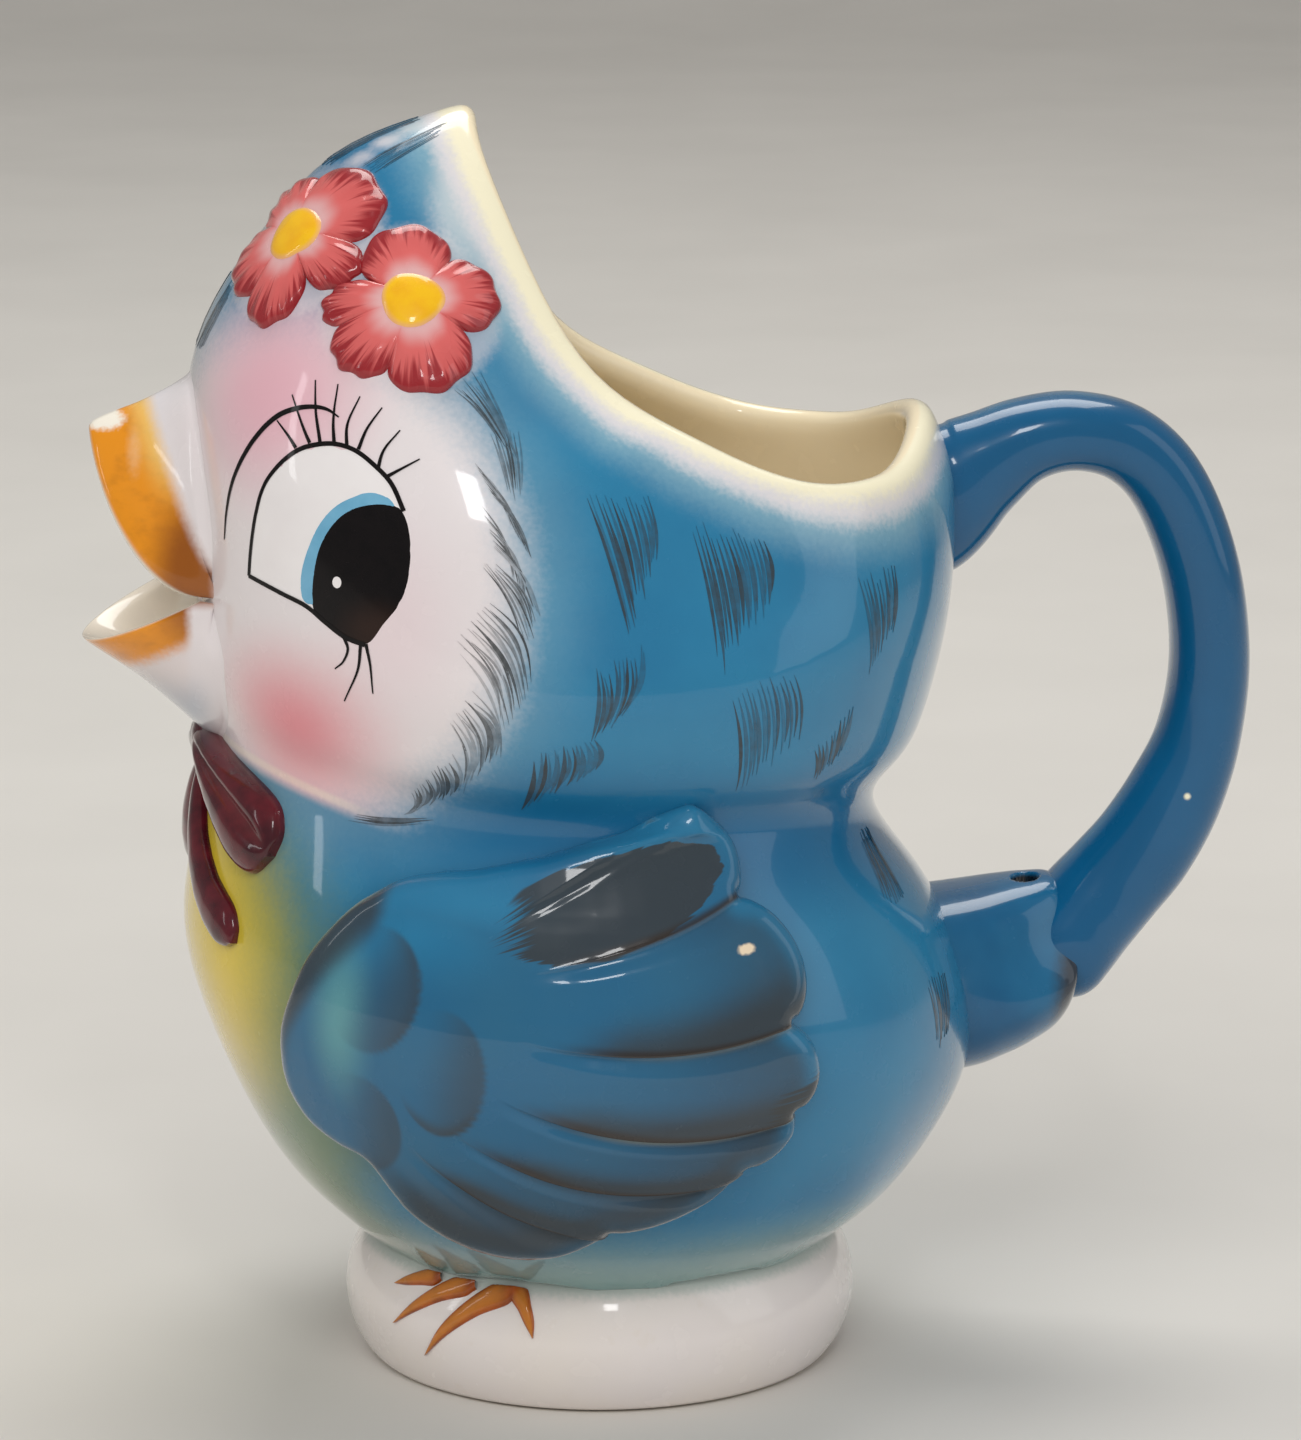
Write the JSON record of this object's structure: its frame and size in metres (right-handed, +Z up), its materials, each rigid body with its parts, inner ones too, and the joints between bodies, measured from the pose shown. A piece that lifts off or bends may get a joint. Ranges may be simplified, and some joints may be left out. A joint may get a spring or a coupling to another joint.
{
  "type": "figural cream jug",
  "caption": "Glazed ceramic cream jug shaped as a bird: open back of the head for filling, beak spout for pouring, loop handle running into the tail, relief wings, blossoms, bow and toes.",
  "frame": {"origin": "on the table under the middle of the foot", "axes": "+X towards the handle with the beak at -X, +Z up, the bird's left side at -Y"},
  "size_m": [0.1058, 0.072, 0.1142],
  "materials": {
    "body_glaze": "blue airbrushed colour under clear gloss glaze, ivory inside",
    "foot_glaze": "white gloss glaze",
    "handle_glaze": "deep blue gloss glaze",
    "tail_glaze": "blue gloss glaze with a dark tip",
    "beak_glaze": "orange gloss glaze, cream inside",
    "wing_glaze": "blue gloss glaze with dark brushed feather tips",
    "petal_glaze": "pink gloss glaze with red brushed edges",
    "centre_glaze": "yellow gloss glaze",
    "bow_glaze": "maroon gloss glaze",
    "toe_glaze": "orange brown gloss glaze"
  },
  "bodies": {
    "root": {"jug_body": "body_glaze", "foot_ring": "foot_glaze", "handle": "handle_glaze", "tail": "tail_glaze", "upper_beak": "beak_glaze", "lower_beak": "beak_glaze", "wing_left": "wing_glaze", "wing_right": "wing_glaze", "blossom_front_petals": "petal_glaze", "blossom_front_centre": "centre_glaze", "blossom_side_petals": "petal_glaze", "blossom_side_centre": "centre_glaze", "bow_knot": "bow_glaze", "bow_loop_left": "bow_glaze", "bow_loop_right": "bow_glaze", "bow_tail_left": "bow_glaze", "bow_tail_right": "bow_glaze", "toe_front_left": "toe_glaze", "toe_middle_left": "toe_glaze", "toe_rear_left": "toe_glaze", "spur_left": "toe_glaze", "toe_front_right": "toe_glaze", "toe_middle_right": "toe_glaze", "toe_rear_right": "toe_glaze", "spur_right": "toe_glaze"}
  },
  "joints": []
}
